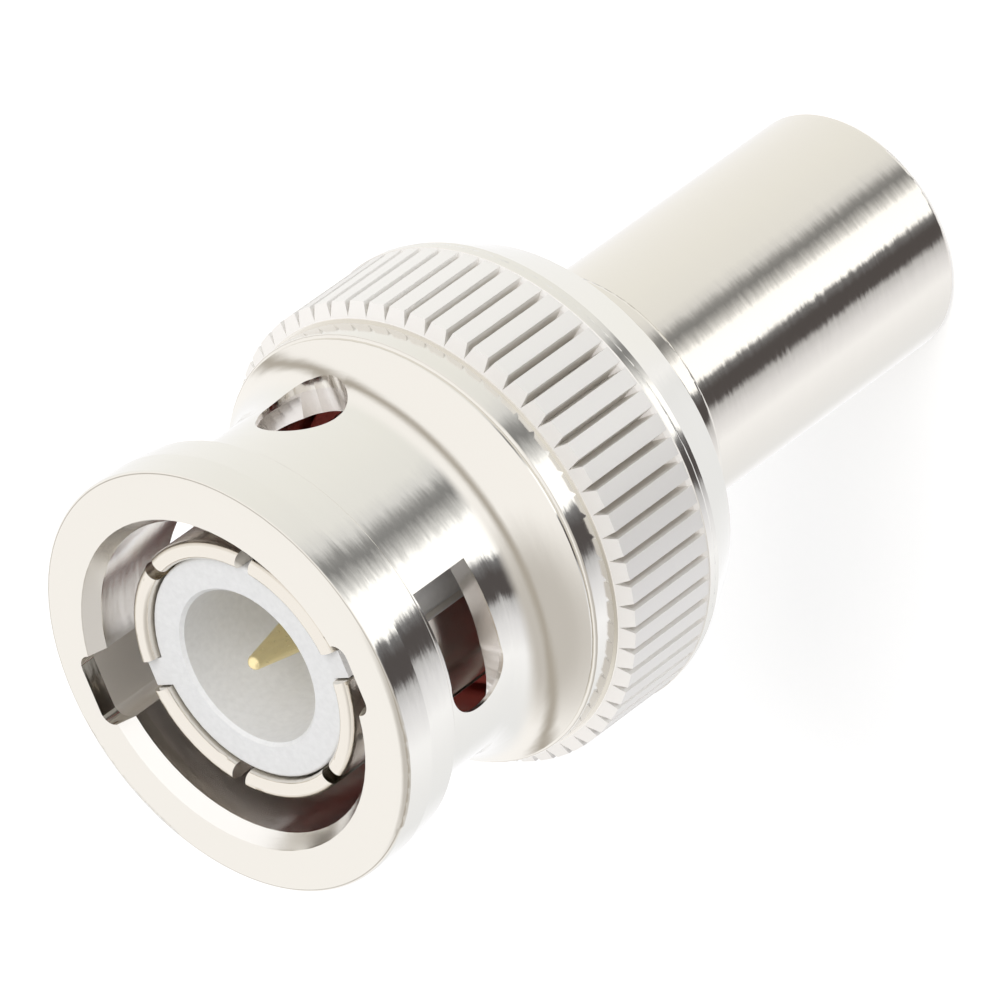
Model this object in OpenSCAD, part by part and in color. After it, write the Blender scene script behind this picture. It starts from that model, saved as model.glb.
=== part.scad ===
// Bayonet coaxial cable plug, crimp type. Millimetres.
// The plug stands on the rear end of its crimp ferrule: the axis is Z, the mating face is up,
// and the origin is at the middle of the ferrule's rear end.
// The stud channels in the coupling nut lie along X.

/* [Coupling nut, front to rear] */
// Diameter of the grip flange at the mating face
flange_d = 13.2; // [12.6:0.1:14]
// Length of the grip flange
flange_len = 2.4; // [1.6:0.1:2.8]
// Diameter of the grip flange at its rear edge
flange_back_d = 12.9; // [12.2:0.1:13.2]
// Radius on the edges of the flange
flange_round = 0.28; // [0.1:0.02:0.5]
// Diameter of the neck behind the flange
neck_d = 11.4; // [11.4:0.05:11.9]
// Length of the straight neck
neck_len = 3.4; // [3.2:0.1:6]
// Length of the concave flare from the neck to the ring
cove_len = 2.2; // [1.4:0.1:3]
// Diameter of the plain ring in front of the knurl
ring_d = 13.6; // [13:0.1:13.8]
// Length of the plain ring
ring_len = 0.85; // [0.5:0.05:1.5]
// Diameter over the knurl and the band behind it
knurl_d = 14.7; // [14.5:0.1:15.5]
// Length of the knurl
knurl_len = 3.5; // [2.5:0.1:6]
// Number of ribs in the knurl
knurl_ribs = 60; // [40:2:72]
// Depth of the knurl's grooves
knurl_depth = 0.44; // [0.2:0.02:0.46]
// Share of the pitch that the flat crests of the ribs take
knurl_crest = 0.7; // [0.4:0.05:0.8]
// Length of the bevel on the front ends of the ribs
knurl_bevel = 0.25; // [0.1:0.05:0.6]
// Length of the plain band behind the knurl
band_len = 0.3; // [0.2:0.05:1]
// Length of the taper at the rear of the nut
taper_len = 2; // [1.2:0.1:2.5]
// Diameter of the nut's rear face
tail_d = 12.6; // [11.4:0.1:13]
// Radius on the nut's rear edge
tail_round = 0.3; // [0.1:0.05:0.5]

/* [Coupling nut, inside] */
// Bore that takes the mating jack
bore_d = 9.8; // [9.7:0.02:9.9]
// Mouth of the lead-in chamfer
mouth_d = 10.4; // [10:0.1:10.6]
// Depth of the lead-in chamfer
mouth_len = 0.5; // [0.3:0.05:0.8]
// Thickness of the inner lip that the spring pushes on
lip_len = 1.3; // [0.9:0.05:1.6]

/* [Bayonet cams] */
// Distance across the studs of the mating jack
stud_span = 11; // [10.9:0.02:11.05]
// Width of the stud channels and cam grooves
cam_w = 2.16; // [2.08:0.02:2.3]
// Depth of each cam groove's middle below the mating face, at the stud channel
cam_start = 4.05; // [3.6:0.05:4.3]
// How far the cam draws the studs in
cam_rise = 1.95; // [1.6:0.05:2.1]
// Turn from the stud channel to the locked position, degrees
cam_turn = 98; // [90:1:100]
// Turn over which the groove is open to the outside at its start, degrees
entry_window = 21; // [18:1:36]
// Turn over which the groove is open to the outside at its end, degrees
lock_window = 4; // [3:1:26]
// Diameter of the hole that the studs lock in
lock_d = 2.7; // [2.3:0.05:2.8]
// How far the studs move back when they drop into their holes
lock_back = 0.25; // [0.1:0.05:0.4]
// Clearance outside the studs in the blind part of the groove
groove_clear = 0.05; // [0.03:0.01:0.1]
// Radius in the two floor corners of each stud channel
channel_round = 0.4; // [0.2:0.05:0.5]
// Turn between the sections that the cam cutter is made of, degrees
cam_step = 4; // [2:1:6]
// Steepness of the cam: 1 is straight, more is gentle at the start
cam_power = 1.5; // [1:0.1:2]

/* [Outer contact] */
// Outside diameter of the slotted contact sleeve
sleeve_d = 8.1; // [8:0.02:8.2]
// Wall of the sleeve
sleeve_wall = 0.55; // [0.45:0.05:0.6]
// Depth of the sleeve's tip below the mating face
sleeve_recess = 0.75; // [0.4:0.05:1.2]
// How far the slots run into the sleeve's root
slot_run = 0.1; // [0.05:0.05:0.3]
// Width of the four plain slots
slot_w = 0.48; // [0.3:0.02:0.6]
// Radius on the outside of the finger tips
tip_round = 0.26; // [0.1:0.02:0.28]
// Radius on the inside of the finger tips
tip_in_round = 0.24; // [0.06:0.02:0.26]
// Diameter of the sleeve's root, which the gasket sits on
root_d = 8.5; // [8.4:0.02:8.7]
// Thickness of the floor behind the sleeve
floor_len = 0.5; // [0.4:0.05:0.8]

/* [Insulators and centre contact] */
// Depth of the insulator's face below the mating face
insulator_recess = 1.05; // [0.9:0.05:1.4]
// Diameter of the cup that takes the jack's insulator
cup_d = 4.8; // [4.7:0.05:5.2]
// Depth of the cup
cup_depth = 5; // [4:0.1:6]
// Width of the two keys that hold the insulator in line
key_w = 0.84; // [0.6:0.02:1]
// Length of the keys
key_len = 1.6; // [1:0.1:3]
// Diameter of the pin
pin_d = 1.35; // [1.3:0.01:1.4]
// Diameter of the pin's domed tip
pin_tip_d = 0.46; // [0.4:0.02:0.8]
// Length of the pin's tapered front
pin_taper_len = 2.6; // [0.8:0.1:3]
// Depth of the pin's tip below the mating face
pin_recess = 1.2; // [0.9:0.05:2]
// Diameter of the contact's shoulder
shoulder_d = 2.2; // [2:0.1:2.6]
// Length of the contact's shoulder
shoulder_len = 0.7; // [0.4:0.1:1]
// Outside diameter of the contact's shank and wire barrel
barrel_d = 1.8; // [1.6:0.05:1.9]
// Length of the wire barrel
barrel_len = 5.1; // [4.5:0.1:5.2]
// Edge break on the insulator and its cup
insulator_edge = 0.1; // [0.05:0.01:0.2]
// Hole for the cable's centre wire
wire_d = 0.95; // [0.6:0.05:1.1]
// Depth of the wire hole
wire_len = 4; // [3:0.1:4.2]
// Diameter of the rear insulator
bush_d = 5.2; // [4.8:0.1:5.6]

/* [Body] */
// Thickness of the body's flange
body_flange_len = 1; // [0.8:0.05:1.4]
// Outside diameter of the contact sleeve's spigot in the body
spigot_d = 7.3; // [7:0.05:7.5]
// How far the shank that the nut turns on stands outside the spigot
shank_step = 0.25; // [0.15:0.05:0.35]
// Diameter of the seat that the collar is pressed on
seat_d = 7.4; // [7.2:0.05:7.5]
// Length of the pilot inside the ferrule
pilot_len = 1.5; // [0.8:0.1:3]
// Outside diameter of the crimp stem over its ribs
stem_d = 4.9; // [4.6:0.1:5.2]
// Number of ribs on the crimp stem
stem_ribs = 24; // [16:2:32]
// Depth of the grooves between the stem's ribs
stem_rib_h = 0.14; // [0.08:0.02:0.2]
// Plain land at each end of the stem's ribs
stem_land = 0.5; // [0.2:0.1:1]
// Flare at the mouth of the stem
stem_flare = 0.3; // [0.1:0.05:0.4]
// Bore for the cable's inner insulation
core_d = 3.8; // [3.4:0.1:4]
// Depth of the stem's end inside the ferrule
stem_recess = 2.4; // [0.5:0.1:3]

/* [Spring pack, gasket, collar and ferrule] */
// Thickness of the flat thrust washer
washer_t = 0.3; // [0.2:0.05:0.4]
// Installed height of the wave washer
spring_h = 1.05; // [0.95:0.05:1.3]
// Thickness of the wave washer's strip
spring_t = 0.2; // [0.15:0.01:0.25]
// Number of waves
spring_waves = 3; // [3:1:4]
// Thickness of the gasket
gasket_t = 2; // [1:0.1:2.2]
// Wall of the collar behind the nut
collar_wall = 0.9; // [0.7:0.05:1.1]
// Length of the collar
collar_len = 1.7; // [1.2:0.1:2.5]
// Outside diameter of the crimp ferrule
ferrule_d = 7.8; // [7.6:0.05:8]
// Wall of the crimp ferrule
ferrule_wall = 0.4; // [0.3:0.05:0.45]
// Length of the crimp ferrule
ferrule_len = 11.4; // [8:0.1:16]

/* [Edges] */
// Radius on the small edges of the turned pieces
edge_round = 0.1; // [0.05:0.01:0.15]
// Radius on the rear edges of the collar and the ferrule, and on the gasket
rear_round = 0.18; // [0.1:0.02:0.24]

/* [Fits] */
// Radial running clearance between the nut's lip and the shank
run_clear = 0.06; // [0.04:0.01:0.09]
// Radial clearance of the loose rings inside the nut
ring_clear = 0.12; // [0.08:0.01:0.15]
// Gap between flat faces that move on each other
face_gap = 0.04; // [0.02:0.01:0.06]
// Radial clearance between pieces that slide together on assembly
slip_clear = 0.04; // [0.02:0.01:0.06]

/* [Hidden] */

// Overshoot of a cut past the face that it opens, and overlap of joined solids
cut = 0.5;
join = 0.05;
// Segments of the turned surfaces and of the small holes
turned_fn = 120;
hole_fn = 48;

// Heights of the seats, from the ferrule's rear end up
collar_z = ferrule_len;
nut_z = collar_z + collar_len + face_gap;
band_z = nut_z + taper_len;
knurl_z = band_z + band_len;
ring_z = knurl_z + knurl_len;
cove_z = ring_z + ring_len;
neck_z = cove_z + cove_len;
flange_z = neck_z + neck_len;
face_z = flange_z + flange_len;
washer_z = nut_z + lip_len + face_gap;
spring_z = washer_z + washer_t + face_gap;
body_flange_z = spring_z + spring_h + face_gap;
gasket_z = body_flange_z + body_flange_len;
floor_z = gasket_z + floor_len;
slot_z = gasket_z + gasket_t - slot_run;
sleeve_z = face_z - sleeve_recess;
insulator_z = face_z - insulator_recess;
pin_z = face_z - pin_recess;
stem_z = stem_recess;
pilot_z = collar_z - pilot_len;
bush_z = collar_z + slip_clear;
shoulder_z = floor_z - shoulder_len - slip_clear;
barrel_z = shoulder_z - barrel_len;
cup_z = insulator_z - cup_depth;

// Radii that mate
neck_r = neck_d / 2;
ring_r = ring_d / 2;
groove_r = stud_span / 2 + groove_clear;
sleeve_r = sleeve_d / 2;
sleeve_in_r = sleeve_r - sleeve_wall;
root_r = root_d / 2;
spigot_r = spigot_d / 2;
shank_r = spigot_r + shank_step;
barrel_r = barrel_d / 2;
seat_r = seat_d / 2;
collar_r = seat_r + collar_wall;
bush_r = bush_d / 2;
loose_ring_r = bore_d / 2 - ring_clear;
washer_in_r = shank_r + ring_clear;
ferrule_in_r = ferrule_d / 2 - ferrule_wall;
insulator_r = sleeve_in_r - slip_clear;
knurl_tip_r = knurl_d / 2 - join / 2;
knurl_root_r = knurl_d / 2 - knurl_depth;

nickel = "gainsboro";
gold = "goldenrod";
ptfe = "whitesmoke";

// ---- helpers ----

// A ring turned about the axis: inner and outer radius, bottom and top height
module ring(r_in, r_out, z_bottom, z_top) {
    rotate_extrude($fn = turned_fn)
        translate([r_in, z_bottom]) square([r_out - r_in, z_top - z_bottom]);
}

// What is cut off a square corner at the origin to round it; the solid lies at -x, -y
module corner_cut(r) {
    translate([-r, -r]) difference() {
        square([r + cut, r + cut]);
        circle(r, $fn = hole_fn);
    }
}

// Rounds the front (up) or rear edge of a turned piece at radius r, height z
module round_edge(r, z, fillet, up = true) {
    translate([r, z]) mirror([0, up ? 0 : 1]) corner_cut(fillet);
}

// Points of a ribbed outline: ribs with flat crests and V grooves between two radii
function rib_points(count, r_tip, r_root, crest) =
    [for (i = [0 : count - 1])
        for (corner = [[-crest / 2, r_tip], [crest / 2, r_tip], [0.5, r_root]])
            let (a = 360 * (i + corner[0]) / count) corner[1] * [cos(a), sin(a)]];

// ---- coupling nut ----

// Depth of the groove's middle below the mating face after a turn from the stud channel
function cam_depth(turn) = cam_start + cam_rise * pow(max(turn, 0) / cam_turn, cam_power);

// Turns of the cutter's sections from one turn up to just before another
function cam_turns(from, to) =
    let (count = max(1, round((to - from) / cam_step)))
    [for (i = [0 : count - 1]) from + (to - from) * i / count];

// The blind part of the cam groove, from the end of one window to the start of the other
module cam_sweep(r_in, r_out) {
    turns = concat(cam_turns(entry_window, cam_turn - lock_window), [cam_turn - lock_window]);
    last = len(turns) - 1;
    points = [for (turn = turns)
        let (mid = face_z - cam_depth(turn))
        for (corner = [[r_in, -1], [r_out, -1], [r_out, 1], [r_in, 1]])
            [corner[0] * cos(turn), -corner[0] * sin(turn), mid + corner[1] * cam_w / 2]];
    sides = [for (i = [0 : last - 1]) for (k = [0 : 3])
        [4 * i + 4 + k, 4 * i + 4 + (k + 1) % 4, 4 * i + (k + 1) % 4, 4 * i + k]];
    polyhedron(points, concat([[0, 1, 2, 3]], sides,
               [[4 * last + 3, 4 * last + 2, 4 * last + 1, 4 * last]]), convexity = 4);
}

// Where a turn and depth fall on a flat drawing of the neck around the middle turn of a window
function neck_point(turn, middle, depth) = [-neck_r * sin(turn - middle), -depth];

// Cuts a flat drawing through the wall of the neck, square to the wall at one turn
module through_neck(middle) {
    r_in = sleeve_r + ring_clear;
    rotate([0, 0, -middle]) translate([r_in, 0, face_z]) rotate([90, 0, 90])
        linear_extrude(knurl_d / 2 + cut - r_in) children();
}

// Window at the start of the groove: one edge in line with the channel, one round end
module entry_cut() {
    start = -asin(cam_w / 2 / neck_r);
    middle = (start + entry_window) / 2;
    first = cam_depth(start);
    last = cam_depth(entry_window);
    through_neck(middle) {
        polygon([neck_point(start, middle, first - cam_w / 2),
                 neck_point(entry_window, middle, last - cam_w / 2),
                 neck_point(entry_window, middle, last + cam_w / 2),
                 neck_point(start, middle, first + cam_w / 2)]);
        translate(neck_point(entry_window, middle, last))
            circle(d = cam_w + slip_clear, $fn = hole_fn);
    }
}

// Window at the end of the groove: a short open stretch that runs into the locking hole
module lock_cut() {
    start = cam_turn - lock_window;
    middle = cam_turn;
    through_neck(middle) {
        translate(neck_point(start, middle, cam_depth(start)))
            circle(d = cam_w + slip_clear, $fn = hole_fn);
        translate(neck_point(cam_turn, middle, cam_depth(cam_turn) - lock_back))
            circle(d = lock_d, $fn = hole_fn);
    }
}

// One stud's way in: channel with rounded floor corners, windows, blind groove between them
module cam_cut() {
    inside_r = bore_d / 2 - cut;
    corner_x = groove_r - channel_round;
    corner_y = cam_w / 2 - channel_round;
    translate([0, 0, face_z - cam_start]) linear_extrude(cam_start + cut) {
        translate([inside_r, -cam_w / 2]) square([corner_x - inside_r, cam_w]);
        translate([inside_r, -corner_y]) square([groove_r - inside_r, 2 * corner_y]);
        for (side = [-1, 1]) translate([corner_x, side * corner_y])
            circle(channel_round, $fn = hole_fn);
    }
    cam_sweep(inside_r, groove_r);
    entry_cut();
    lock_cut();
}

// Half section of the nut without the ribs of its knurl
module nut_section() {
    core_r = knurl_root_r - join;
    cove_h = ring_r - neck_r;
    cove_r = (pow(cove_h, 2) + pow(cove_len, 2)) / (2 * cove_h);
    lip_r = shank_r + run_clear;
    difference() {
        union() {
            // Flange, neck and the block that the flare is cut from
            polygon([[0, flange_z], [flange_back_d / 2, flange_z],
                     [flange_d / 2, flange_z + flange_len / 2], [flange_d / 2, face_z], [0, face_z]]);
            translate([0, neck_z - cut]) square([neck_r, neck_len + 2 * cut]);
            difference() {
                translate([0, cove_z - cut]) square([ring_r, cove_len + cut]);
                translate([neck_r + cove_r, neck_z]) circle(cove_r, $fn = turned_fn);
            }
            // Tail, band, run-out of the knurl's grooves, their roots, ring
            polygon([[0, nut_z], [tail_d / 2, nut_z], [knurl_d / 2, band_z], [knurl_d / 2, knurl_z],
                     [core_r, knurl_z + knurl_depth], [core_r, ring_z], [ring_r, ring_z],
                     [ring_r, cove_z], [0, cove_z]]);
        }
        round_edge(flange_d / 2, face_z, flange_round);
        round_edge(flange_back_d / 2, flange_z, edge_round, false);
        round_edge(ring_r, cove_z, edge_round);
        round_edge(knurl_d / 2, band_z, edge_round, false);
        round_edge(tail_d / 2, nut_z, tail_round, false);
        // Bore with its lead-in, and the hole in the rear lip
        translate([0, nut_z + lip_len]) square([bore_d / 2, face_z - nut_z]);
        polygon([[0, face_z + cut], [mouth_d / 2, face_z + cut], [mouth_d / 2, face_z],
                 [bore_d / 2, face_z - mouth_len], [0, face_z - mouth_len]]);
        translate([0, nut_z - cut]) square([lip_r, lip_len + 2 * cut]);
    }
}

// The ribs of the knurl, bevelled down to the ring at their front ends
module knurl_ring() {
    r_in = knurl_root_r - cut;
    r_out = knurl_d / 2 + cut;
    slope = knurl_bevel / (knurl_d / 2 - ring_r);
    intersection() {
        translate([0, 0, knurl_z]) linear_extrude(knurl_len - join / 2)
            polygon(rib_points(knurl_ribs, knurl_tip_r, knurl_root_r, knurl_crest));
        rotate_extrude($fn = turned_fn)
            polygon([[r_in, knurl_z - cut], [r_out, knurl_z - cut],
                     [r_out, ring_z - (r_out - ring_r) * slope],
                     [r_in, ring_z - (r_in - ring_r) * slope]]);
    }
}

module coupling_nut() {
    color(nickel) difference() {
        union() {
            rotate_extrude($fn = turned_fn) nut_section();
            knurl_ring();
        }
        for (side = [0, 180]) rotate([0, 0, side]) cam_cut();
    }
}

// ---- body ----

module plug_body() {
    rib_z = stem_z + stem_land;
    color(nickel) difference() {
        union() {
            // Flange, shank, collar seat, ferrule pilot and crimp stem
            ring(0, loose_ring_r, body_flange_z, gasket_z);
            ring(0, shank_r, collar_z + collar_len, body_flange_z + join);
            ring(0, seat_r, collar_z, collar_z + collar_len + join);
            ring(0, ferrule_in_r - slip_clear, pilot_z, collar_z + join);
            ring(0, stem_d / 2 - stem_rib_h, stem_z, pilot_z + join);
            translate([0, 0, rib_z]) linear_extrude(pilot_z - stem_land - rib_z)
                polygon(rib_points(stem_ribs, stem_d / 2, stem_d / 2 - stem_rib_h + join / 2,
                                   knurl_crest));
        }
        // Socket for the contact sleeve, seat for the rear insulator, bore for the cable
        ring(0, spigot_r, body_flange_z, gasket_z + cut);
        ring(0, bush_r, collar_z, gasket_z);
        ring(0, core_d / 2, stem_z - cut, gasket_z);
        translate([0, 0, stem_z - cut])
            cylinder(h = cut + stem_flare, r1 = core_d / 2 + cut + stem_flare,
                     r2 = core_d / 2, $fn = turned_fn);
    }
}

// ---- outer contact: slotted sleeve with six fingers ----

module outer_contact() {
    color(nickel) difference() {
        rotate_extrude($fn = turned_fn) difference() {
            union() {
                // Spigot pressed into the body, floor on the body's flange, sleeve
                translate([bush_r, body_flange_z])
                    square([spigot_r - bush_r, body_flange_len + join]);
                translate([bush_r, gasket_z]) square([root_r - bush_r, floor_len]);
                translate([sleeve_in_r, gasket_z]) square([root_r - sleeve_in_r, gasket_t]);
                translate([sleeve_in_r, gasket_z]) square([sleeve_wall, sleeve_z - gasket_z]);
            }
            round_edge(sleeve_r, sleeve_z, tip_round);
            translate([sleeve_in_r, sleeve_z]) mirror([1, 0]) corner_cut(tip_in_round);
        }
        // The two slots in line with the stud channels also hold the insulator's keys
        for (i = [0 : 5]) {
            w = i % 3 == 0 ? key_w + 2 * slip_clear : slot_w;
            rotate([0, 0, 60 * i]) translate([sleeve_in_r - cut, -w / 2, slot_z])
                cube([root_r - sleeve_in_r + 2 * cut, w, sleeve_z - slot_z + cut]);
        }
    }
}

// ---- insulators ----

module front_insulator() {
    back_z = floor_z + slip_clear;
    color(ptfe) difference() {
        union() {
            rotate_extrude($fn = turned_fn) difference() {
                translate([0, back_z]) square([insulator_r, insulator_z - back_z]);
                round_edge(insulator_r, insulator_z, insulator_edge);
            }
            for (side = [0, 180]) rotate([0, 0, side])
                translate([insulator_r - cut, -key_w / 2, insulator_z - key_len])
                    cube([sleeve_r - slip_clear - insulator_r + cut, key_w, key_len]);
        }
        // Cup for the jack's insulator, its edge break, and the pin's hole
        ring(0, cup_d / 2, cup_z, insulator_z + cut);
        rotate_extrude($fn = turned_fn)
            polygon([[0, insulator_z + cut], [cup_d / 2 + insulator_edge + cut, insulator_z + cut],
                     [cup_d / 2, insulator_z - insulator_edge],
                     [0, insulator_z - insulator_edge]]);
        ring(0, barrel_r + slip_clear, back_z - cut, insulator_z);
    }
}

module rear_insulator() {
    color(ptfe) difference() {
        ring(0, bush_r - slip_clear, bush_z, floor_z);
        ring(0, barrel_r + slip_clear, bush_z - cut, floor_z + cut);
        ring(0, shoulder_d / 2 + slip_clear, shoulder_z - slip_clear, floor_z + cut);
    }
}

// ---- centre contact: turned pin with a crimp barrel ----

module centre_contact() {
    tip_r = pin_tip_d / 2;
    color(gold) difference() {
        union() {
            // Shank and barrel, shoulder held between the insulators, pin
            ring(0, barrel_r, barrel_z, cup_z);
            ring(0, shoulder_d / 2, shoulder_z, shoulder_z + shoulder_len);
            rotate_extrude($fn = turned_fn) {
                polygon([[0, cup_z - join], [pin_d / 2, cup_z - join],
                         [pin_d / 2, pin_z - pin_taper_len], [tip_r, pin_z - tip_r],
                         [0, pin_z - tip_r]]);
                translate([0, pin_z - tip_r]) intersection() {
                    circle(tip_r, $fn = hole_fn);
                    square(tip_r + cut);
                }
            }
        }
        // Wire hole with its cross hole for inspection
        translate([0, 0, barrel_z - cut]) cylinder(h = wire_len + cut, d = wire_d, $fn = hole_fn);
        translate([0, -barrel_d, barrel_z + wire_len - wire_d])
            rotate([-90, 0, 0]) cylinder(h = barrel_d, d = wire_d / 2, $fn = hole_fn);
    }
}

// ---- spring pack and gasket ----

module gasket() {
    inner_r = root_r + slip_clear;
    color("firebrick") rotate_extrude($fn = turned_fn) difference() {
        translate([inner_r, gasket_z]) square([loose_ring_r - inner_r, gasket_t]);
        round_edge(loose_ring_r, gasket_z + gasket_t, rear_round);
    }
}

module thrust_washer() {
    color(nickel) ring(washer_in_r, loose_ring_r, washer_z, washer_z + washer_t);
}

// A flat ring bent into waves, swept round the axis
module wave_washer() {
    steps = 24 * spring_waves;
    swing = (spring_h - spring_t) / 2;
    mid = spring_z + spring_h / 2;
    corners = [[washer_in_r, -1], [loose_ring_r, -1], [loose_ring_r, 1], [washer_in_r, 1]];
    points = [for (i = [0 : steps - 1])
        let (a = 360 * i / steps, z = mid + swing * cos(spring_waves * a))
        for (c = corners) [c[0] * cos(a), c[0] * sin(a), z + c[1] * spring_t / 2]];
    faces = [for (i = [0 : steps - 1]) let (j = (i + 1) % steps) for (k = [0 : 3])
        [4 * i + k, 4 * j + k, 4 * j + (k + 1) % 4, 4 * i + (k + 1) % 4]];
    color("silver") polyhedron(points, faces, convexity = 6);
}

// ---- collar and ferrule ----

module retaining_collar() {
    color(nickel) rotate_extrude($fn = turned_fn) difference() {
        translate([seat_r, collar_z]) square([collar_wall, collar_len]);
        round_edge(collar_r, collar_z, rear_round, false);
        round_edge(collar_r, collar_z + collar_len, edge_round);
    }
}

module crimp_ferrule() {
    color(nickel) rotate_extrude($fn = turned_fn) difference() {
        translate([ferrule_in_r, 0]) square([ferrule_wall, ferrule_len]);
        round_edge(ferrule_d / 2, 0, rear_round, false);
        round_edge(ferrule_d / 2, ferrule_len, edge_round);
    }
}

coupling_nut();
plug_body();
outer_contact();
front_insulator();
rear_insulator();
centre_contact();
gasket();
wave_washer();
thrust_washer();
retaining_collar();
crimp_ferrule();
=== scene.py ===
"""Looks of the bayonet cable plug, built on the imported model.

Lengths are written in millimetres, and MM turns them into Blender's metres. The plug stands
on its ferrule, with its axis along Z and its mating face up.
"""
import math
from collections import namedtuple

import bpy
from mathutils import Matrix, Vector


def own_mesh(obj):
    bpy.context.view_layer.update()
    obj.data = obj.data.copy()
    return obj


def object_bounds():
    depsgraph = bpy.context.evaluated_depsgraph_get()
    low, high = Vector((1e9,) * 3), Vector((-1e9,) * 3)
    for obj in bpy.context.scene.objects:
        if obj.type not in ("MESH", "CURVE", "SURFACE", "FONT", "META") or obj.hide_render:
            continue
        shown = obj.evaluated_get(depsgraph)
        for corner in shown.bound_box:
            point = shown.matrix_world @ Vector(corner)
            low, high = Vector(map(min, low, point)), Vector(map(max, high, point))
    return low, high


MM = 0.001
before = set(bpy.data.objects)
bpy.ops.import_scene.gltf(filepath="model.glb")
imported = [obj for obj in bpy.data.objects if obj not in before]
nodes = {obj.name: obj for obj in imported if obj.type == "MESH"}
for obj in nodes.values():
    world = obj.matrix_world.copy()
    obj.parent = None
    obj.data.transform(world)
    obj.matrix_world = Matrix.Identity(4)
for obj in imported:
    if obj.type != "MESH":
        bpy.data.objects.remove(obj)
cad_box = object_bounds()
scene = bpy.context.scene


# ---------- shader node helpers ----------

# Sockets of the mix node for each kind of value: first input, second input, output
MIX_SOCKETS = {"FLOAT": (2, 3, 0), "VECTOR": (4, 5, 1), "RGBA": (6, 7, 2)}


def node(nt, kind, **props):
    """A new node with the given properties."""
    n = nt.nodes.new(kind)
    for key, value in props.items():
        setattr(n, key, value)
    return n


def feed(nt, socket, value):
    """Link an output to the socket, or set the socket itself to a plain value."""
    if isinstance(value, bpy.types.NodeSocket):
        nt.links.new(value, socket)
    else:
        socket.default_value = value


def math_node(nt, op, *values):
    n = node(nt, "ShaderNodeMath", operation=op)
    for socket, value in zip(n.inputs, values):
        feed(nt, socket, value)
    return n.outputs[0]


def vector_math(nt, op, *vectors, scale=None):
    """A vector operation's result, which is a number for a dot product or a length."""
    n = node(nt, "ShaderNodeVectorMath", operation=op)
    for socket, value in zip(n.inputs, vectors):
        feed(nt, socket, value)
    if scale is not None:
        feed(nt, n.inputs["Scale"], scale)
    return n.outputs["Value" if op in ("DOT_PRODUCT", "LENGTH") else "Vector"]


def map_range(nt, value, *limits, smooth=True):
    """The value brought from the first two limits to the last two, and held between them."""
    n = node(nt, "ShaderNodeMapRange", interpolation_type="SMOOTHSTEP" if smooth else "LINEAR")
    for socket, given in zip(n.inputs, (value, *limits)):
        feed(nt, socket, given)
    return n.outputs[0]


def mix_node(nt, kind, factor, a, b):
    """Value a where the factor is 0, b where it is 1; the kind is one of MIX_SOCKETS."""
    n = node(nt, "ShaderNodeMix", data_type=kind)
    first, second, result = MIX_SOCKETS[kind]
    feed(nt, n.inputs[0], factor)
    feed(nt, n.inputs[first], a)
    feed(nt, n.inputs[second], b)
    return n.outputs[result]


def colour_ramp(nt, value, stops):
    """Colours along a value from 0 to 1; each stop is (place, colour)."""
    n = node(nt, "ShaderNodeValToRGB")
    feed(nt, n.inputs[0], value)
    elements = n.color_ramp.elements
    for i, (place, colour) in enumerate(stops):
        if i == 0:
            stop = elements[0]
        elif i == len(stops) - 1:
            stop = elements[len(elements) - 1]
        else:
            stop = elements.new(place)
        stop.position = place
        stop.color = (*colour, 1)
    return n.outputs[0]


def millimetres(nt, per_mm=(1, 1, 1)):
    """Object coordinates in millimetres, times a number for each axis."""
    mapping = node(nt, "ShaderNodeMapping")
    mapping.inputs["Scale"].default_value = [s / MM for s in per_mm]
    feed(nt, mapping.inputs["Vector"], node(nt, "ShaderNodeTexCoord").outputs["Object"])
    return mapping.outputs[0]


def noise(nt, vector, detail, rough=0.5, scale=1.0):
    n = node(nt, "ShaderNodeTexNoise")
    n.inputs["Scale"].default_value = scale
    n.inputs["Detail"].default_value = detail
    n.inputs["Roughness"].default_value = rough
    feed(nt, n.inputs["Vector"], vector)
    return n.outputs[0]


def bump(nt, height, strength, distance_mm, normal=None):
    n = node(nt, "ShaderNodeBump")
    n.inputs["Strength"].default_value = strength
    n.inputs["Distance"].default_value = distance_mm * MM
    feed(nt, n.inputs["Height"], height)
    if normal is not None:
        feed(nt, n.inputs["Normal"], normal)
    return n.outputs[0]


def new_material(name):
    """A material with one principled shader: the material, its node tree and the shader."""
    mat = bpy.data.materials.new(name)
    mat.use_nodes = True
    nt = mat.node_tree
    nt.nodes.clear()
    out = node(nt, "ShaderNodeOutputMaterial")
    bsdf = node(nt, "ShaderNodeBsdfPrincipled")
    feed(nt, out.inputs[0], bsdf.outputs[0])
    return mat, nt, bsdf


# ---------- nickel plate on turned metal ----------

PLATE_COLOUR = (0.80, 0.765, 0.70)
PLATE_ROUGHNESS = 0.085
# A lighter copy of the plate for the dim inside: painted light. The duller finish is set in
# each zone.
INSIDE_PAINTED_LIGHT = (0.87, 0.85, 0.83)

# A place with a duller finish, whose colour may be painted light or shade: radii and heights
# in millimetres, its colour and roughness
Zone = namedtuple("Zone", "radii heights colour rough")
ZONE_FADE = 0.03

# Cells of the plate's patterns per millimetre along each axis: turning marks round the plug,
# slow clouds in the gloss, and a fine grain
RINGS = (0.8, 0.8, 6.5)
CLOUDS = (0.35, 0.35, 0.35)
GRAIN = (7, 7, 7)

# The values between which most of a noise lies, and nearly all of it
NOISE_MOST = (0.35, 0.65)
NOISE_ALL = (0.3, 0.7)

# Cosine between a normal and the radial direction from which the normal begins to count as
# a turned surface's, and from which it wholly does
NEAR_RADIAL = (0.985, 0.992)


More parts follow.
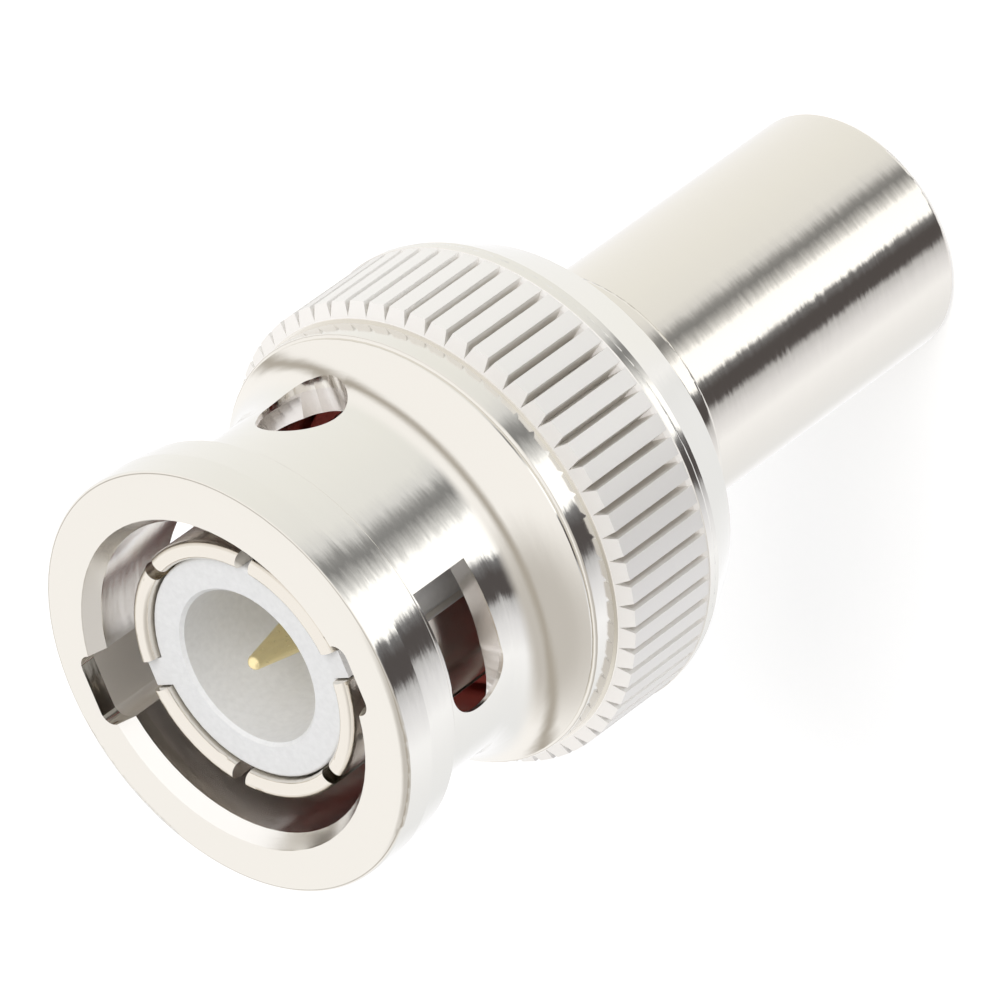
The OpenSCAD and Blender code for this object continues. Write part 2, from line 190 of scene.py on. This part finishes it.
def turned_normal(nt):
    """The surface's normal, with its sideways part made truly radial where it is almost so:
    a turned surface then reflects without the seams and facets of its mesh."""
    coord = node(nt, "ShaderNodeTexCoord")
    normal = coord.outputs["Normal"]
    outward = vector_math(nt, "MULTIPLY", coord.outputs["Object"], (1, 1, 0))
    radial = vector_math(nt, "NORMALIZE", outward)
    sideways = vector_math(nt, "MULTIPLY", normal, (1, 1, 0))
    upright = vector_math(nt, "MULTIPLY", normal, (0, 0, 1))
    along = vector_math(nt, "DOT_PRODUCT", sideways, radial)
    length = vector_math(nt, "LENGTH", sideways)
    signed = math_node(nt, "MULTIPLY", length, math_node(nt, "SIGN", along))
    turned = vector_math(nt, "ADD", vector_math(nt, "SCALE", radial, scale=signed), upright)
    near = math_node(nt, "DIVIDE", math_node(nt, "ABSOLUTE", along), length)
    mixed = mix_node(nt, "VECTOR", map_range(nt, near, *NEAR_RADIAL, 0, 1), normal, turned)
    world = node(nt, "ShaderNodeVectorTransform", vector_type="NORMAL",
                 convert_from="OBJECT", convert_to="WORLD")
    feed(nt, world.inputs[0], mixed)
    return world.outputs[0]


def combed_normal(nt, normal, rings, waver):
    """The normal turned to either side round the axis, by a little that changes from ring to
    ring, so the edges of the bright bands look combed."""
    around = vector_math(nt, "CROSS_PRODUCT", normal, (0, 0, 1))
    shift = map_range(nt, rings, *NOISE_ALL, -waver, waver, smooth=False)
    tilted = vector_math(nt, "ADD", normal, vector_math(nt, "SCALE", around, scale=shift))
    return vector_math(nt, "NORMALIZE", tilted)


def between(nt, value, low, high):
    """1 between two limits and 0 outside them, with a fade above each limit."""
    return math_node(nt, "MULTIPLY", map_range(nt, value, low, low + ZONE_FADE, 0, 1),
                     map_range(nt, value, high, high + ZONE_FADE, 1, 0))


def zone_mask(nt, place, zone):
    """1 where the surface lies in the zone, 0 elsewhere. It fades out just below its top."""
    x, y, z = place.outputs
    radius = math_node(nt, "SQRT", math_node(nt, "ADD", math_node(nt, "POWER", x, 2.0),
                                             math_node(nt, "POWER", y, 2.0)))
    low, high = zone.heights
    return math_node(nt, "MULTIPLY", between(nt, radius, *zone.radii),
                     between(nt, z, low, high - ZONE_FADE))


def nickel(name, colour, waver=0.016, zones=()):
    """Bright nickel plate with turning marks, duller in each zone, with painted light or shade
    in the zones' colours.
    """
    mat, nt, bsdf = new_material(name)
    rings = noise(nt, millimetres(nt, RINGS), detail=4.0, rough=0.7)
    clouds = noise(nt, millimetres(nt, CLOUDS), detail=2.0)
    grain = noise(nt, millimetres(nt, GRAIN), detail=3.0, rough=0.6)
    tint = (*colour, 1)
    gloss = (PLATE_ROUGHNESS - 0.015, PLATE_ROUGHNESS + 0.02)
    rough = math_node(nt, "ADD", map_range(nt, rings, *NOISE_MOST, *gloss, smooth=False),
                      map_range(nt, clouds, *NOISE_MOST, -0.01, 0.02, smooth=False))
    if zones:
        place = node(nt, "ShaderNodeSeparateXYZ")
        feed(nt, place.inputs[0], millimetres(nt))
    for zone in zones:
        here = zone_mask(nt, place, zone)
        tint = mix_node(nt, "RGBA", here, tint, (*zone.colour, 1))
        rough = mix_node(nt, "FLOAT", here, rough, zone.rough)
    normal = bump(nt, grain, strength=0.25, distance_mm=0.002, normal=turned_normal(nt))
    feed(nt, bsdf.inputs["Metallic"], 1.0)
    feed(nt, bsdf.inputs["Base Color"], tint)
    feed(nt, bsdf.inputs["Roughness"], rough)
    feed(nt, bsdf.inputs["Normal"], combed_normal(nt, normal, rings, waver))
    return mat


# ---------- the other materials ----------

def plain(name, colour, rough, bump_mm, metallic=0.0, grain=(3, 3, 3)):
    """An even finish with a faint grain in its colour, gloss and surface."""
    mat, nt, bsdf = new_material(name)
    cells = noise(nt, millimetres(nt, grain), detail=3.0, scale=2.0)
    darker = [c * 0.96 for c in colour]
    lighter = [min(1, c * 1.03) for c in colour]
    feed(nt, bsdf.inputs["Metallic"], metallic)
    feed(nt, bsdf.inputs["Base Color"],
         colour_ramp(nt, cells, list(zip(NOISE_ALL, (darker, lighter)))))
    feed(nt, bsdf.inputs["Roughness"],
         map_range(nt, cells, *NOISE_ALL, rough - 0.04, rough + 0.05, smooth=False))
    feed(nt, bsdf.inputs["Normal"], bump(nt, cells, strength=0.4, distance_mm=bump_mm))
    return mat


def nut_nickel():
    """The nut's plate: bright outside, duller inside, on the chamfer and on the knurl, where
    lighter colours are painted light and the darker sides of the knurl's ribs are painted
    shade.
    """
    # Heights, measured back from the mating face
    face = cad_box[1][2] / MM
    bottom = 0
    past_face = face + 0.1
    chamfer = face - 0.52
    channel_end = face - 3.9
    knurl_front = face - 8.85
    bevel_end = knurl_front - 0.25
    knurl_rear = knurl_front - 3.5
    # Radii, set a little off the surfaces so that a zone's edge falls between two of them
    axis, bore, chamfer_edge, groove_floor = 0, 4.94, 5.17, 5.62
    knurl_root, rib_side, outside = 6.86, 7.2, 8
    return nickel("nickel_plate_nut", (0.81, 0.79, 0.74), waver=0.02, zones=[
        # the whole inside, behind the chamfer: duller, and lighter than the plate outside,
        # which is painted light
        Zone((axis, groove_floor), (bottom, chamfer), INSIDE_PAINTED_LIGHT, 0.2),
        # the stud channels, from the chamfer to where they meet the cam grooves: rougher, and
        # lighter than the plate, which is painted light
        Zone((bore, groove_floor), (channel_end, chamfer), (0.90, 0.87, 0.82), 0.5),
        # the chamfer of the mouth, lighter than the plate: painted light
        Zone((axis, chamfer_edge), (chamfer, past_face), (0.92, 0.91, 0.88), 0.2),
        # the knurl, a lighter copy of the plate that is painted light on its ribs, and a
        # darker one down the sides of its ribs that is painted shade in the grooves
        Zone((knurl_root, outside), (knurl_rear, knurl_front), (0.94, 0.93, 0.91), 0.6),
        Zone((knurl_root, rib_side), (knurl_rear, bevel_end), (0.84, 0.82, 0.79), 0.5)])


def sleeve_nickel():
    """The sleeve's plate: bright at the tips of the fingers, duller on the outside below,
    where a lighter colour is painted light.
    """
    bottom, tips = 0, cad_box[1][2] / MM - 1.5
    within_wall, outside = 3.9, 8
    return nickel("nickel_plate_sleeve", PLATE_COLOUR, zones=[
        # painted light: the lighter inside colour on the sleeve's outside below the tips
        Zone((within_wall, outside), (bottom, tips), INSIDE_PAINTED_LIGHT, 0.2)])


NICKEL = nickel("nickel_plate", PLATE_COLOUR)
PTFE = plain("white_insulator", (0.90, 0.90, 0.90), rough=0.42, bump_mm=0.003)
GOLD = plain("gold_plate", (0.98, 0.84, 0.48), rough=0.3, bump_mm=0.001, metallic=1.0,
             grain=(6, 6, 2))
SILICONE = plain("red_silicone", (0.82, 0.14, 0.11), rough=0.45, bump_mm=0.01)
SPRING = plain("spring_steel", (0.62, 0.61, 0.58), rough=0.25, bump_mm=0.004, metallic=1.0)

LOOK = {"coupling_nut": nut_nickel(), "plug_body": NICKEL, "outer_contact": sleeve_nickel(),
        "front_insulator": PTFE, "rear_insulator": PTFE, "centre_contact": GOLD,
        "gasket": SILICONE, "wave_washer": SPRING, "thrust_washer": NICKEL,
        "retaining_collar": NICKEL, "crimp_ferrule": NICKEL}
for name, mat in LOOK.items():
    mesh = nodes[name].data
    mesh.materials.clear()
    mesh.materials.append(mat)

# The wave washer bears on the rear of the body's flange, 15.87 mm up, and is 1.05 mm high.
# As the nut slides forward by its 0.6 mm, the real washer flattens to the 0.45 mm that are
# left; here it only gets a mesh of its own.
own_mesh(nodes["wave_washer"])


# ---------- camera ----------

def add_camera(eye, right, up):
    """A long lens at the eye; right and up are the directions of the picture's sides."""
    right = right.normalized()
    back = right.cross(up).normalized()
    data = bpy.data.cameras.new("camera")
    data.sensor_width = 36
    data.lens = 432
    data.clip_start = 50 * MM
    data.clip_end = 5000 * MM
    camera = bpy.data.objects.new("camera", data)
    turn = Matrix((right, back.cross(right), back)).transposed().to_4x4()
    camera.matrix_world = Matrix.Translation(eye) @ turn
    scene.collection.objects.link(camera)
    scene.camera = camera


add_camera(eye=Vector((249.8, 97.9, 222.9)) * MM, right=Vector((0.6748, -0.3651, -0.6414)),
           up=Vector((0.0369, 0.8847, -0.4648)))


# ---------- what the metal reflects ----------

# A white room with a strip lamp and dark flags that stand parallel to the plug, given by
# their direction round its axis from X: degrees, (red, green, blue)
STRIPS = [
    (-180, (1.05, 1.05, 1.06)), (-150, (1.10, 1.10, 1.12)), (-120, (0.95, 0.96, 0.98)),
    (-92, (1.02, 1.03, 1.06)), (-66, (1.13, 1.14, 1.18)), (-45, (0.88, 0.88, 0.92)),
    (-34, (0.62, 0.62, 0.64)), (-29, (0.10, 0.09, 0.09)), (-16, (0.10, 0.09, 0.09)),
    (-8, (0.22, 0.22, 0.23)), (-5, (1.45, 1.45, 1.45)), (18, (1.4, 1.4, 1.4)),
    (23, (0.85, 0.85, 0.85)), (30, (0.45, 0.45, 0.45)), (35, (0.26, 0.26, 0.26)),
    (40, (0.34, 0.34, 0.34)), (48, (0.82, 0.82, 0.82)), (58, (0.95, 0.95, 0.93)),
    (90, (1.0, 1.0, 0.97)), (150, (1.06, 1.06, 1.05)), (180, (1.05, 1.05, 1.06))]

# Above the flags stand white walls, with a warm grey one on one side, and a dark edge runs
# all round at the height of the horizon. Heights are those of a direction of length 1.
WHITE_WALL = (1.12, 1.10, 1.09, 1)
GREY_WALL = (0.66, 0.63, 0.60, 1)
GREY_WALL_SIDE = (0.616, -0.788, 0)
GREY_WALL_FADE = (0.4, 0.92)
FLAG_TOPS = (-0.45, -0.2)
HORIZON = (0.50, 0.46, 0.41, 1)
HORIZON_HEIGHT = 0.14

WHITE = (1, 1, 1, 1)
ROOM_LIGHT = 0.55


def reflected_room(nt):
    """The colour that a glossy ray meets in its direction."""
    direction = node(nt, "ShaderNodeTexCoord").outputs["Generated"]
    split = node(nt, "ShaderNodeSeparateXYZ")
    feed(nt, split.inputs[0], direction)
    x, y, z = split.outputs
    turn = map_range(nt, math_node(nt, "ARCTAN2", y, x), -math.pi, math.pi, 0, 1, smooth=False)
    strips = colour_ramp(nt, turn, [((deg + 180) / 360, colour) for deg, colour in STRIPS])
    side = vector_math(nt, "DOT_PRODUCT", direction, GREY_WALL_SIDE)
    walls = mix_node(nt, "RGBA", map_range(nt, side, *GREY_WALL_FADE, 0, 1),
                     WHITE_WALL, GREY_WALL)
    room = mix_node(nt, "RGBA", map_range(nt, z, *FLAG_TOPS, 0, 1), strips, walls)
    level = map_range(nt, math_node(nt, "ABSOLUTE", z), 0.0, HORIZON_HEIGHT, 1, 0)
    return mix_node(nt, "RGBA", level, room, HORIZON)


def background(nt, colour, strength=1.0):
    n = node(nt, "ShaderNodeBackground")
    feed(nt, n.inputs[0], colour)
    n.inputs[1].default_value = strength
    return n.outputs[0]


def mix_shaders(nt, factor, a, b):
    n = node(nt, "ShaderNodeMixShader")
    for socket, value in zip(n.inputs, (factor, a, b)):
        feed(nt, socket, value)
    return n.outputs[0]


def add_world():
    """White to the camera, the room with its strips to glossy rays, even light to the rest."""
    world = bpy.data.worlds.new("studio")
    scene.world = world
    world.use_nodes = True
    nt = world.node_tree
    nt.nodes.clear()
    path = node(nt, "ShaderNodeLightPath").outputs
    lit = mix_shaders(nt, path["Is Glossy Ray"], background(nt, WHITE, ROOM_LIGHT),
                      background(nt, reflected_room(nt)))
    seen = math_node(nt, "MAXIMUM", path["Is Camera Ray"], path["Is Transmission Ray"])
    out = node(nt, "ShaderNodeOutputWorld")
    feed(nt, out.inputs[0], mix_shaders(nt, seen, lit, background(nt, WHITE)))


add_world()


# ---------- lamp and floor ----------

def add_lamp():
    """A soft lamp above the plug, to the camera's left, kept out of the reflections."""
    data = bpy.data.lights.new("soft_lamp", "AREA")
    data.shape = "DISK"
    data.size = 250 * MM
    data.energy = 0.5
    lamp = bpy.data.objects.new("soft_lamp", data)
    middle = Vector((0, 0, 20)) * MM
    lamp.location = Vector((120, 180, 260)) * MM
    lamp.rotation_euler = (lamp.location - middle).to_track_quat("Z", "Y").to_euler()
    lamp.visible_glossy = False
    scene.collection.objects.link(lamp)


def floor_white():
    """White with some light of its own for the camera, so it shows as paper with a shadow."""
    mat, nt, bsdf = new_material("floor_white")
    bsdf.inputs["Base Color"].default_value = (0.9, 0.9, 0.9, 1)
    bsdf.inputs["Roughness"].default_value = 0.9
    bsdf.inputs["Specular IOR Level"].default_value = 0.1
    glow = node(nt, "ShaderNodeEmission")
    feed(nt, glow.inputs[0], node(nt, "ShaderNodeLightPath").outputs["Is Camera Ray"])
    glow.inputs[1].default_value = 0.45
    add = node(nt, "ShaderNodeAddShader")
    feed(nt, add.inputs[0], bsdf.outputs[0])
    feed(nt, add.inputs[1], glow.outputs[0])
    out = next(n for n in nt.nodes if n.type == "OUTPUT_MATERIAL")
    feed(nt, out.inputs[0], add.outputs[0])
    return mat


add_lamp()

half = 3000 * MM
floor_mesh = bpy.data.meshes.new("floor")
corners = [(-half, -half, 0), (half, -half, 0), (half, half, 0), (-half, half, 0)]
floor_mesh.from_pydata(corners, [], [(0, 1, 2, 3)])
floor_mesh.materials.append(floor_white())
floor = bpy.data.objects.new("floor", floor_mesh)
floor.visible_glossy = False
scene.collection.objects.link(floor)

# ---------- render settings ----------

scene.view_settings.view_transform = "Standard"
# Light runs back and forth between the sleeve and the nut's bore
scene.cycles.max_bounces = 16
scene.cycles.glossy_bounces = 12
